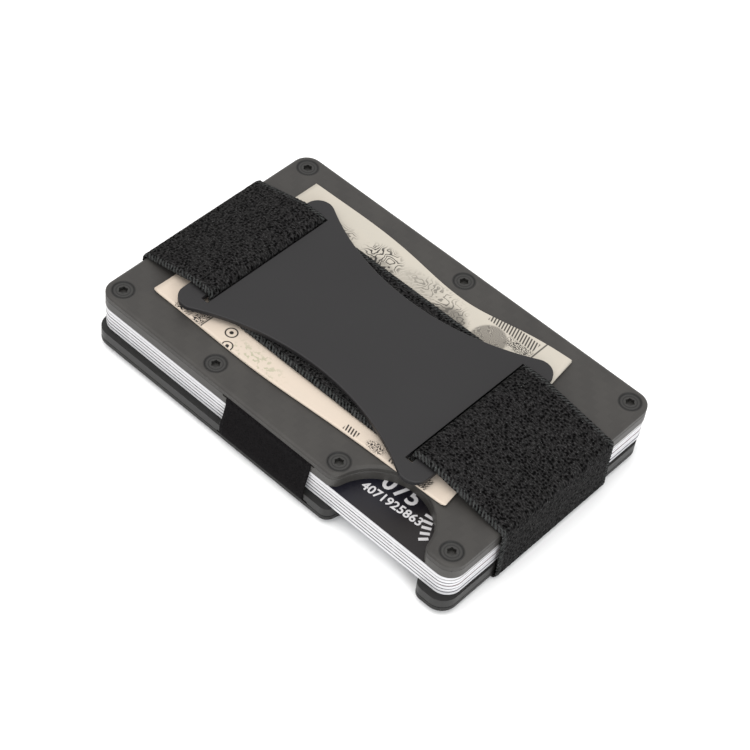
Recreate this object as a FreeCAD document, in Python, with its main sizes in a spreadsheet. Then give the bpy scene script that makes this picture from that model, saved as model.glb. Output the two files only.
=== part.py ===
import FreeCAD, Part
import math
import os
import Sketcher
from FreeCAD import Placement, Rotation, Vector

# A minimalist card wallet, in millimetres.
# Origin: centre of the strap's underside.  +X: towards the thumb notch end.
# +Y: towards the open long side the cards leave by.  +Z: towards the cash strap.

DIMENSIONS = {
    # rigid covers
    "cover_length": 86.0,
    "cover_width": 54.0,
    "cover_corner": 3.2,
    "plate_thick": 1.2,
    "frame_thick": 2.0,
    "rim_bevel": 0.22,
    "seam_bevel": 0.15,
    "lower_shift_x": 0.3,
    "lower_shift_y": -1.3,
    # thumb notch in the front long edge of both covers
    "notch_x": 26.0,
    "notch_y": -27.4,
    "notch_radius": 10.05,
    "notch_tip": 2.0,
    "notch_bevel": 0.35,
    # countersunk screws, seven to a cover
    "screw_corner_x": 39.8,
    "screw_edge_y": 23.8,
    "screw_front_left": 16.0,
    "screw_front_right": 14.0,
    "screw_back_x": 0.4,
    "screw_head_radius": 1.95,
    "screw_head_depth": 0.95,
    "screw_recess": 0.08,
    "screw_shank_radius": 0.98,
    "screw_reach": 2.95,
    "socket_outer": 0.95,
    "socket_inner": 0.74,
    "socket_depth": 0.7,
    "sink_radius": 2.05,
    "sink_depth": 0.95,
    "clear_radius": 1.12,
    "tapped_radius": 1.0,
    # cards
    "card_length": 85.6,
    "card_width": 53.98,
    "card_corner": 3.18,
    "card_thick": 0.76,
    "card_bevel": 0.06,
    "card_gap": 0.04,
    "card_line_gap": 0.1,
    "card_shift": 0.06,
    # elastic bands that pull the covers together
    "band_thick": 0.45,
    "band_pocket": 0.5,
    "band_clear": 0.03,
    "front_band_width": 20.4,
    "front_band_centre": 0.2,
    "front_head_left": 19.0,
    "front_head_right": 15.6,
    "front_head_in": 21.6,
    "front_head_out": 25.9,
    "end_band_width": 18.0,
    "end_head_length": 52.0,
    "end_head_in": 37.5,
    "end_head_out": 41.9,
    "pocket_margin": 0.12,
    "neck_margin": 0.9,
    # elastic cash strap, one loop round the whole wallet
    "strap_width": 29.5,
    "strap_thick": 0.8,
    "strap_centre_y": 0.6,
    "strap_inside": 43.85,
    "strap_base_half": 42.6,
    "strap_crest": 42.2,
    "strap_bend": 1.4,
    "strap_slack": 0.05,
    # bow-shaped strap plate
    "bow_length": 59.5,
    "bow_waist": 23.7,
    "bow_end": 43.0,
    "bow_tip": 3.0,
    "bow_arc": 50.8,
    "bow_thick": 1.0,
    "bow_rim": 0.2,
    "bow_centre_x": -1.7,
    "bow_centre_y": -1.1,
    "bow_bar": 4.2,
    "bow_slot": 1.6,
    "bow_slot_length": 31.0,
    # folded note
    "note_length_front": 67.8,
    "note_length_back": 62.0,
    "note_width": 41.4,
    "note_skew": 1.9,
    "note_step": 2.7,
    "note_thick": 0.55,
    "note_fold": 0.25,
    "note_room": 0.2,
    "note_centre_x": -1.5,
    "note_centre_y": 1.7,
}


class Size:
    """A length with the spreadsheet expression that gives it."""

    def __init__(self, value, text=None):
        self.value = float(value)
        self.text = text if text is not None else repr(float(value))

    def __add__(self, other):
        other = as_size(other)
        return Size(self.value + other.value, f"({self.text} + {other.text})")

    def __sub__(self, other):
        other = as_size(other)
        return Size(self.value - other.value, f"({self.text} - {other.text})")

    def __mul__(self, factor):
        return Size(self.value * factor, f"({self.text} * {factor})")

    def __neg__(self):
        return self * -1


def as_size(value):
    return value if isinstance(value, Size) else Size(value)


def make_sheet(doc):
    sheet = doc.addObject("Spreadsheet::Sheet", "Dims")
    sheet.Label = "Dims"
    sizes = {}
    for row, (name, value) in enumerate(DIMENSIONS.items(), start=1):
        sheet.set(f"A{row}", name)
        sheet.set(f"B{row}", str(value))
        sheet.setAlias(f"B{row}", name)
        sizes[name] = Size(value, f"Dims.{name}")
    doc.recompute()
    return sizes


def bind(item, path, size):
    item.setExpression(path, as_size(size).text)


def new_body(doc, name, x=0, y=0, z=0):
    body = doc.addObject("PartDesign::Body", name)
    body.Label = name
    move = (as_size(x), as_size(y), as_size(z))
    body.Placement = Placement(Vector(*(part.value for part in move)), Rotation())
    for axis, part in zip("xyz", move):
        bind(body, f"Placement.Base.{axis}", part)
    return body


def own_plane(body, role):
    for feature in body.Origin.OriginFeatures:
        if feature.Role == role:
            return feature
    raise ValueError(f"{body.Label} has no {role}")


def new_sketch(body, role, offset=0):
    sketch = body.newObject("Sketcher::SketchObject", f"{body.Name}_sketch")
    sketch.AttachmentSupport = [(own_plane(body, role), "")]
    sketch.MapMode = "FlatFace"
    offset = as_size(offset)
    sketch.AttachmentOffset = Placement(Vector(0, 0, offset.value), Rotation())
    bind(sketch, "AttachmentOffset.Base.z", offset)
    return sketch


def constrain(sketch, size, kind, *where):
    index = sketch.addConstraint(Sketcher.Constraint(kind, *where, size.value))
    bind(sketch, f"Constraints[{index}]", size)


def pin_point(sketch, geometry, end, x, y):
    """Hold one point of the sketch at x, y from its origin."""
    for kind, size, axis in (("DistanceX", as_size(x), -2), ("DistanceY", as_size(y), -1)):
        if abs(size.value) < 1e-9:
            sketch.addConstraint(Sketcher.Constraint("PointOnObject", geometry, end, axis))
        else:
            constrain(sketch, size, kind, -1, 1, geometry, end)


def add_loop(sketch, points):
    """A closed run of straight lines through points given as pairs of sizes."""
    spots = [(as_size(x), as_size(y)) for x, y in points]
    vectors = [Vector(x.value, y.value, 0) for x, y in spots]
    first = sketch.GeometryCount
    count = len(vectors)
    for index in range(count):
        line = Part.LineSegment(vectors[index], vectors[(index + 1) % count])
        sketch.addGeometry(line, False)
    for index in range(count):
        after = first + (index + 1) % count
        sketch.addConstraint(Sketcher.Constraint("Coincident", first + index, 2, after, 1))
    for index, (x, y) in enumerate(spots):
        pin_point(sketch, first + index, 1, x, y)


def add_circle(sketch, x, y, radius):
    x, y, radius = as_size(x), as_size(y), as_size(radius)
    circle = Part.Circle(Vector(x.value, y.value, 0), Vector(0, 0, 1), radius.value)
    index = sketch.addGeometry(circle, False)
    pin_point(sketch, index, 3, x, y)
    constrain(sketch, radius, "Radius", index)


def add_rectangle(sketch, left, right, low, high):
    add_loop(sketch, [(left, low), (right, low), (right, high), (left, high)])


def pad(body, sketch, length, midplane=False, reverse=False, taper=0):
    feature = body.newObject("PartDesign::Pad", f"{body.Name}_pad")
    feature.Profile = sketch
    feature.Length = as_size(length).value
    bind(feature, "Length", length)
    feature.Midplane = midplane
    feature.Reversed = reverse
    feature.TaperAngle = taper
    sketch.Visibility = False
    return feature


def pocket(body, sketch, depth, reverse=False, taper=0):
    feature = body.newObject("PartDesign::Pocket", f"{body.Name}_pocket")
    feature.Profile = sketch
    feature.Length = as_size(depth).value
    bind(feature, "Length", depth)
    feature.Reversed = reverse
    feature.TaperAngle = taper
    sketch.Visibility = False
    return feature


def edge_names(shape, wanted):
    """Names of the edges for which wanted(edge) is true."""
    return [f"Edge{i}" for i, edge in enumerate(shape.Edges, start=1) if wanted(edge)]


def dress(body, kind, size, wanted):
    """Round or bevel the edges of the body's tip that wanted() picks."""
    body.Document.recompute()
    base = body.Tip
    names = edge_names(base.Shape, wanted)
    if not names:
        raise ValueError(f"no edge to dress on {body.Label}")
    feature = body.newObject(f"PartDesign::{kind}", f"{body.Name}_{kind.lower()}")
    feature.Base = (base, names)
    target = "Radius" if kind == "Fillet" else "Size"
    setattr(feature, target, as_size(size).value)
    bind(feature, target, size)
    body.Document.recompute()
    return feature


def is_upright(edge):
    box = edge.BoundBox
    return box.XLength < 1e-6 and box.YLength < 1e-6 and box.ZLength > 1e-6


def is_level(height):
    """A test for edges lying flat at one height."""
    def wanted(edge):
        box = edge.BoundBox
        return box.ZLength < 1e-6 and abs(box.ZMin - height) < 1e-6
    return wanted


def rounded_block(body, length, width, thick, corner):
    sketch = new_sketch(body, "XY_Plane")
    add_rectangle(sketch, length * -0.5, length * 0.5, width * -0.5, width * 0.5)
    pad(body, sketch, thick)
    dress(body, "Fillet", corner, is_upright)


def screw_spots(d):
    """The seven screw centres in a cover's own frame."""
    edge = d["screw_edge_y"]
    corner = d["screw_corner_x"]
    spots = [(corner * sx, edge * sy) for sx in (-1, 1) for sy in (-1, 1)]
    spots.append((-d["screw_front_left"], -edge))
    spots.append((d["screw_front_right"], -edge))
    spots.append((d["screw_back_x"], edge))
    return spots


def cut_notch(body, d, thick):
    """Cut the thumb notch and round its two tips."""
    sketch = new_sketch(body, "XY_Plane")
    add_circle(sketch, d["notch_x"], d["notch_y"], d["notch_radius"])
    pocket(body, sketch, thick, reverse=True)
    front = d["cover_width"].value * -0.5

    def at_tip(edge):
        middle = edge.BoundBox.Center
        near = abs(middle.x - d["notch_x"].value) < d["notch_radius"].value + 1.0
        return is_upright(edge) and near and abs(middle.y - front) < 0.01
    dress(body, "Fillet", d["notch_tip"], at_tip)


def in_notch(d):
    """A test for the notch's own curved edge."""
    centre = Vector(d["notch_x"].value, d["notch_y"].value, 0)

    def wanted(edge):
        middle = edge.valueAt((edge.FirstParameter + edge.LastParameter) / 2)
        distance = math.hypot(middle.x - centre.x, middle.y - centre.y)
        return abs(distance - d["notch_radius"].value) < 0.02
    return wanted


def cut_holes(body, d, radius, depth, start=0, reverse=False, taper=0):
    sketch = new_sketch(body, "XY_Plane", start)
    for x, y in screw_spots(d):
        add_circle(sketch, x, y, radius)
    pocket(body, sketch, depth, reverse=reverse, taper=taper)


def make_plate(doc, d, name, upward, x, y, z):
    """An outer cover plate whose finished face looks up or down."""
    thick = d["plate_thick"]
    body = new_body(doc, name, x, y, z)
    rounded_block(body, d["cover_length"], d["cover_width"], thick, d["cover_corner"])
    cut_notch(body, d, thick)
    outer = thick.value if upward else 0.0
    flat = is_level(outer)
    notch = in_notch(d)
    dress(body, "Chamfer", d["notch_bevel"], lambda edge: flat(edge) and notch(edge))
    straight = d["cover_corner"].value + 0.5
    dress(body, "Chamfer", d["rim_bevel"], lambda edge: flat(edge) and edge.Length > straight
          and not notch(edge) and not near_notch(edge, d))
    cut_holes(body, d, d["clear_radius"], thick, reverse=True)
    start = thick if upward else 0
    cut_holes(body, d, d["sink_radius"], d["sink_depth"], start, not upward, -45)
    return body


def near_notch(edge, d):
    """True for edges of the rounded notch tips and the bevel between them."""
    box = edge.BoundBox
    inside = abs(box.Center.x - d["notch_x"].value) < d["notch_radius"].value + 3.0
    return inside and box.Center.y < d["cover_width"].value * -0.5 + 12 and edge.Length < 8


def band_recess(sketch, d, side):
    """The outline of one band's recess in a cover's inner frame."""
    gap = d["pocket_margin"]
    neck_gap = d["neck_margin"]
    if side == "front":
        half = d["front_band_width"] * 0.5 + neck_gap
        left = d["front_band_centre"] - half
        right = d["front_band_centre"] + half
        head = (-d["front_head_left"] - gap, d["front_head_right"] + gap)
        inner, outer = -d["front_head_in"] + gap, -d["front_head_out"] - gap
        edge = d["cover_width"] * -0.5 - 1
        add_loop(sketch, [(head[0], inner), (head[0], outer), (left, outer), (left, edge),
                          (right, edge), (right, outer), (head[1], outer), (head[1], inner)])
        return
    sign = -1 if side == "left" else 1
    neck = d["end_band_width"] * 0.5 + neck_gap
    head = d["end_head_length"] * 0.5 + gap
    inner = (d["end_head_in"] - gap) * sign
    outer = (d["end_head_out"] + gap) * sign
    edge = (d["cover_length"] * 0.5 + 1) * sign
    add_loop(sketch, [(inner, -head), (outer, -head), (outer, -neck), (edge, -neck),
                      (edge, neck), (outer, neck), (outer, head), (inner, head)])


def make_frame(doc, d, name, upward, x, y, z):
    """An inner cover frame: recessed for the bands on the side facing its plate."""
    thick = d["frame_thick"]
    body = new_body(doc, name, x, y, z)
    rounded_block(body, d["cover_length"], d["cover_width"], thick, d["cover_corner"])
    cut_notch(body, d, thick)
    flat = is_level(thick.value if upward else 0.0)
    dress(body, "Chamfer", d["seam_bevel"],
          lambda edge: flat(edge) and edge.Length > d["cover_corner"].value + 0.5
          and not near_notch(edge, d) and not in_notch(d)(edge))
    cut_holes(body, d, d["tapped_radius"], thick, reverse=True)
    start = thick if upward else 0
    for side in ("front", "left", "right"):
        sketch = new_sketch(body, "XY_Plane", start)
        band_recess(sketch, d, side)
        pocket(body, sketch, d["band_pocket"], reverse=not upward)
    return body


def make_screws(doc, d, name, upward, x, y, z):
    """Seven countersunk screws; z is the plate's finished face."""
    body = new_body(doc, name, x, y, z)
    body.AllowCompound = True
    inward = -1 if upward else 1
    top = d["screw_recess"] * inward
    shank = new_sketch(body, "XY_Plane", top)
    heads = new_sketch(body, "XY_Plane", top)
    sockets = new_sketch(body, "XY_Plane", top)
    for spot_x, spot_y in screw_spots(d):
        add_circle(shank, spot_x, spot_y, d["screw_shank_radius"])
        add_circle(heads, spot_x, spot_y, d["screw_head_radius"])
        add_loop(sockets, star_points(spot_x, spot_y, d["socket_outer"], d["socket_inner"]))
    pad(body, shank, d["screw_reach"], reverse=upward)
    pad(body, heads, d["screw_head_depth"], reverse=upward, taper=-45)
    pocket(body, sockets, d["socket_depth"], reverse=not upward)
    return body


def star_points(x, y, outer, inner):
    """A six-lobed socket outline round a centre."""
    points = []
    for step in range(12):
        reach = outer if step % 2 == 0 else inner
        angle = math.radians(30 * step + 10)
        points.append((x + reach * round(math.cos(angle), 5), y + reach * round(math.sin(angle), 5)))
    return points


def make_band(doc, d, levels, side):
    """One elastic band: two hammer-head tabs and the run outside the card stack."""
    name = f"{side}_band"
    body = new_body(doc, name)
    thick = d["band_thick"]
    gap = d["band_clear"]
    front = side == "front"
    sign = -1 if side in ("front", "left") else 1
    span = d["cover_width"] * 0.5 if front else d["cover_length"] * 0.5
    drift = Size(0)
    if front:
        drift = -d["lower_shift_y"]
    elif side == "right":
        drift = d["lower_shift_x"]
    high = levels["upper_seam"] - gap
    low = levels["lower_seam"] + gap
    head_in = d["front_head_in"] if front else d["end_head_in"]
    upper = span + gap
    lower = span + gap + drift
    bottom, top = levels["card_floor"], levels["card_ceiling"]
    outline = [
        (head_in, high), (upper + thick, high), (upper + thick, top), (lower + thick, bottom),
        (lower + thick, low), (head_in + drift, low), (head_in + drift, low + thick),
        (lower, low + thick), (lower, bottom), (upper, top), (upper, high - thick),
        (head_in, high - thick),
    ]
    role, midway = "XZ_Plane", d["lower_shift_y"] * -0.5
    if front:
        role, midway = "YZ_Plane", d["front_band_centre"] + d["lower_shift_x"] * 0.5
    run = new_sketch(body, role, midway)
    add_loop(run, [(u * sign, v) for u, v in outline])
    pad(body, run, d["front_band_width"] if front else d["end_band_width"], midplane=True)
    for height, shift in ((high - thick, False), (low, True)):
        head = new_sketch(body, "XY_Plane", height)
        move_x = d["lower_shift_x"] if shift else Size(0)
        move_y = d["lower_shift_y"] if shift else Size(0)
        edge = d["screw_edge_y"]
        if front:
            sides = (-d["front_head_left"], d["front_head_right"], -d["front_head_out"],
                     -d["front_head_in"])
            holes = [(-d["screw_front_left"], -edge), (d["screw_front_right"], -edge)]
        else:
            half = d["end_head_length"] * 0.5
            across = sorted((d["end_head_in"] * sign, d["end_head_out"] * sign),
                            key=lambda size: size.value)
            sides = (across[0], across[1], -half, half)
            holes = [(d["screw_corner_x"] * sign, edge * way) for way in (-1, 1)]
        add_rectangle(head, sides[0] + move_x, sides[1] + move_x, sides[2] + move_y,
                      sides[3] + move_y)
        for x, y in holes:
            add_circle(head, x + move_x, y + move_y, d["clear_radius"])
        pad(body, head, thick)
    return body


def make_card(doc, d, number, x, z):
    body = new_body(doc, f"card_{number}", x, 0, z)
    rounded_block(body, d["card_length"], d["card_width"], d["card_thick"], d["card_corner"])
    top, bottom = is_level(d["card_thick"].value), is_level(0.0)
    dress(body, "Chamfer", d["card_bevel"], lambda edge: top(edge) or bottom(edge))
    return body


def strap_piece(doc, d, name, points):
    """A length of strap: a side profile of the webbing run across its width."""
    body = new_body(doc, name)
    sketch = new_sketch(body, "XZ_Plane", d["strap_centre_y"])
    add_loop(sketch, points)
    pad(body, sketch, d["strap_width"], midplane=True)
    return body


def soften_bends(body, d, spots, radius):
    """Round the edges across the strap that pass near the given X, Z spots."""
    def wanted(edge):
        box = edge.BoundBox
        if box.YLength < d["strap_width"].value - 0.01:
            return False
        return any(math.hypot(box.Center.x - x.value, box.Center.z - z.value) < 0.01
                   for x, z in spots)
    dress(body, "Fillet", radius, wanted)


def make_strap_end(doc, d, levels, side):
    """The strap's run up one short end, from underneath to the top face's edge."""
    sign = -1 if side == "left" else 1
    thick = d["strap_thick"]
    inner = d["strap_inside"] * sign
    outer = (d["strap_inside"] + thick) * sign
    start = d["strap_base_half"] * sign
    crest = d["strap_crest"] * sign
    under, over = levels["strap_crest"], levels["strap_crest"] + thick
    body = strap_piece(doc, d, f"strap_end_{side}", [
        (start, 0), (outer, 0), (outer, over), (crest, over),
        (crest, under), (inner, under), (inner, thick), (start, thick),
    ])
    soften_bends(body, d, [(outer, Size(0)), (outer, over)], d["strap_bend"])
    soften_bends(body, d, [(inner, under), (inner, thick)], d["strap_bend"] - thick)
    return body


def make_strap_ramp(doc, d, levels, side):
    """The strap's slope from the top face's edge up to the bow plate's bar."""
    sign = -1 if side == "left" else 1
    thick = d["strap_thick"]
    low_x = d["strap_crest"] * sign
    high_x = d["bow_centre_x"] + d["bow_length"] * 0.5 * sign
    low, high = levels["strap_crest"], levels["strap_over"]
    return strap_piece(doc, d, f"strap_ramp_{side}", [
        (low_x, low), (high_x, high), (high_x, high + thick), (low_x, low + thick),
    ])


def make_strap_bridge(doc, d, levels):
    """The strap over both bars, down through both slots and under the bow plate."""
    thick = d["strap_thick"]
    half = d["bow_length"] * 0.5
    left, right = d["bow_centre_x"] - half, d["bow_centre_x"] + half
    inset = d["bow_bar"] + (d["bow_slot"] - thick) * 0.5
    drop_left, drop_right = left + inset, right - inset
    over, mid = levels["strap_over"], levels["strap_mid"]
    body = strap_piece(doc, d, "strap_bridge", [
        (left, over), (drop_left, over), (drop_left, mid), (drop_right, mid),
        (drop_right, over), (right, over), (right, over + thick),
        (drop_right - thick, over + thick), (drop_right - thick, mid + thick),
        (drop_left + thick, mid + thick), (drop_left + thick, over + thick),
        (left, over + thick),
    ])
    bends = [(drop_left, mid), (drop_right, mid), (drop_left + thick, over + thick),
             (drop_right - thick, over + thick)]
    soften_bends(body, d, bends, thick * 0.75)
    return body


def make_bow(doc, d, z):
    """The bow-shaped plate: waisted long sides, rounded tips and two strap slots."""
    body = new_body(doc, "bow_plate", d["bow_centre_x"], d["bow_centre_y"], z)
    half = d["bow_length"] * 0.5
    sketch = new_sketch(body, "XY_Plane")
    add_rectangle(sketch, -half, half, d["bow_end"] * -0.5, d["bow_end"] * 0.5)
    pad(body, sketch, d["bow_thick"])
    waist = new_sketch(body, "XY_Plane")
    far = d["bow_waist"] * 0.5 + d["bow_arc"]
    for sign in (-1, 1):
        add_circle(waist, 0, far * sign, d["bow_arc"])
    pocket(body, waist, d["bow_thick"], reverse=True)
    dress(body, "Fillet", d["bow_tip"], is_upright)
    top, bottom = is_level(d["bow_thick"].value), is_level(0.0)
    dress(body, "Fillet", d["bow_rim"], lambda edge: top(edge) or bottom(edge))
    slots = new_sketch(body, "XY_Plane")
    reach = d["bow_slot_length"] * 0.5
    near, far = half - d["bow_bar"] - d["bow_slot"], half - d["bow_bar"]
    add_rectangle(slots, near, far, -reach, reach)
    add_rectangle(slots, -far, -near, -reach, reach)
    pocket(body, slots, d["bow_thick"], reverse=True)
    return body


def make_note(doc, d, z):
    """The folded note, a flat packet with rounded folds, longer in front than behind."""
    body = new_body(doc, "folded_note", d["note_centre_x"], d["note_centre_y"], z)
    sketch = new_sketch(body, "XY_Plane")
    front, back = d["note_length_front"] * 0.5, d["note_length_back"] * 0.5
    reach, skew, step = d["note_width"] * 0.5, d["note_skew"] * 0.5, d["note_step"]
    add_loop(sketch, [(-front, -reach - skew), (front, -reach + skew),
                      (back - step, reach + skew), (-back - step, reach - skew)])
    pad(body, sketch, d["note_thick"])

    def on_fold(edge):
        box = edge.BoundBox
        return box.XLength > 1 and box.YLength < 5
    dress(body, "Fillet", d["note_fold"], on_fold)
    return body


def stack_levels(d):
    """Heights of the layers, each built on the one below."""
    levels = {"lower_plate": d["strap_thick"] + d["strap_slack"]}
    levels["lower_seam"] = levels["lower_plate"] + d["plate_thick"]
    levels["card_floor"] = levels["lower_seam"] + d["frame_thick"]
    height = levels["card_floor"] + d["card_gap"]
    for number in range(1, 7):
        levels[f"card_{number}"] = height
        gap = d["card_line_gap"] if number in (1, 3) else d["card_gap"]
        height = height + d["card_thick"] + gap
    levels["card_ceiling"] = height
    levels["upper_seam"] = height + d["frame_thick"]
    levels["upper_face"] = levels["upper_seam"] + d["plate_thick"]
    levels["strap_crest"] = levels["upper_face"] + d["strap_slack"]
    levels["note"] = levels["upper_face"] + d["strap_slack"]
    levels["strap_mid"] = levels["note"] + d["note_thick"] + d["note_room"]
    levels["bow"] = levels["strap_mid"] + d["strap_thick"] + d["strap_slack"]
    levels["strap_over"] = levels["bow"] + d["bow_thick"] + d["strap_slack"]
    return levels


def build_parts(doc, d):
    levels = stack_levels(d)
    lower = (d["lower_shift_x"], d["lower_shift_y"])
    parts = [
        make_plate(doc, d, "lower_plate", False, *lower, levels["lower_plate"]),
        make_frame(doc, d, "lower_frame", False, *lower, levels["lower_seam"]),
        make_screws(doc, d, "lower_screws", False, *lower, levels["lower_plate"]),
        make_frame(doc, d, "upper_frame", True, 0, 0, levels["card_ceiling"]),
        make_plate(doc, d, "upper_plate", True, 0, 0, levels["upper_seam"]),
        make_screws(doc, d, "upper_screws", True, 0, 0, levels["upper_face"]),
    ]
    for side in ("front", "left", "right"):
        parts.append(make_band(doc, d, levels, side))
    for number in range(1, 7):
        shift = d["card_shift"] * (1 if number % 2 else 0)
        parts.append(make_card(doc, d, number, shift, levels[f"card_{number}"]))
    parts.append(make_note(doc, d, levels["note"]))
    parts.append(make_bow(doc, d, levels["bow"]))
    half, thick = d["strap_base_half"], d["strap_thick"]
    parts.append(strap_piece(doc, d, "strap_base",
                             [(-half, 0), (half, 0), (half, thick), (-half, thick)]))
    for side in ("left", "right"):
        parts.append(make_strap_end(doc, d, levels, side))
        parts.append(make_strap_ramp(doc, d, levels, side))
    parts.append(make_strap_bridge(doc, d, levels))
    return parts


def check_and_export(doc, parts):
    doc.recompute()
    faults = []
    for item in doc.Objects:
        if "Invalid" in item.State or "Error" in item.State:
            faults.append(f"{item.Label}: {item.State}")
    for part in parts:
        shape = part.Shape
        if shape.isNull() or not shape.isValid() or shape.Volume <= 0:
            faults.append(f"{part.Label}: bad shape")
            continue
        shape.exportStep(os.path.join("parts", f"{part.Label}.step"))
        box = shape.BoundBox
        size = " x ".join(f"{side:.2f}" for side in (box.XLength, box.YLength, box.ZLength))
        print(f"{part.Label:18s} {len(shape.Solids)} solid(s) {size} mm, {shape.Volume:.2f} mm3,"
              f" z {box.ZMin:.2f} to {box.ZMax:.2f}")
    if faults:
        raise RuntimeError("; ".join(faults))


def main():
    os.makedirs("parts", exist_ok=True)
    doc = FreeCAD.newDocument("CardWallet")
    sizes = make_sheet(doc)
    check_and_export(doc, build_parts(doc, sizes))


main()
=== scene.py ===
import logging
import math
from collections.abc import Iterable
from dataclasses import dataclass, field
from enum import Enum
from functools import partial, reduce

import bmesh
import bpy
from mathutils import Matrix, Quaternion, Vector, noise


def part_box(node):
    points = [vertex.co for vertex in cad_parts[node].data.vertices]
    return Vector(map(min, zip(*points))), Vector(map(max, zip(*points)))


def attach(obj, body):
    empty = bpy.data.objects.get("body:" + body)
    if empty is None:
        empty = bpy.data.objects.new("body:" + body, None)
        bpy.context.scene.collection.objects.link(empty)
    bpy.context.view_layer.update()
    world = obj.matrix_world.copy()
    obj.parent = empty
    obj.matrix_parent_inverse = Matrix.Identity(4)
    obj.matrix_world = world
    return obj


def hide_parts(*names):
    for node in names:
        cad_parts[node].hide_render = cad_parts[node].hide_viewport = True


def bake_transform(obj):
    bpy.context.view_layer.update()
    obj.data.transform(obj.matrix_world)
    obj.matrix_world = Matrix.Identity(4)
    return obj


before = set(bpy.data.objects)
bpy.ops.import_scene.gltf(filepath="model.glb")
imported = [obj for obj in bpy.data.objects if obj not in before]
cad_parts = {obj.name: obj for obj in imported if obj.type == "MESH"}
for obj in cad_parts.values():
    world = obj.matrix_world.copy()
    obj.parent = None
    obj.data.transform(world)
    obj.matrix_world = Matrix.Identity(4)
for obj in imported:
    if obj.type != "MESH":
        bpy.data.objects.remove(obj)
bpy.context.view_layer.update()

MM = 0.001
Colour = tuple[float, float, float, float]
Spot = tuple[float, float]
Triple = tuple[float, float, float]
Socket = bpy.types.NodeSocket
Term = Socket | float
log = logging.getLogger("wallet")


class Plane(Enum):
    """The upright plane a ribbon's side profile is drawn in."""

    ALONG_X = "x"
    ALONG_Y = "y"


class Weave(Enum):
    """How far apart a knitted surface's loops lie, in millimetres."""

    COARSE = 0.6
    FINE = 0.3


class Stroke(Enum):
    """The line work that fills a printed mark."""

    SOLID = "solid"
    HAIR = "hair"
    FINE = "fine"
    CROSS = "cross"
    BARS = "bars"
    SCROLL = "scroll"


def linear(red: float, green: float, blue: float) -> Colour:
    """Turn a display colour, 0 to 255 a channel, into scene colour.

    Args:
        red: display red.
        green: display green.
        blue: display blue.

    Returns:
        The colour with full alpha.
    """
    def channel(value: float) -> float:
        """Undo the display curve for one channel."""
        share = value / 255
        return share / 12.92 if share <= 0.04045 else ((share + 0.055) / 1.055) ** 2.4
    return channel(red), channel(green), channel(blue), 1.0


def clamp(value: float) -> float:
    """Keep a number between 0 and 1."""
    return min(1.0, max(0.0, value))


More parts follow.
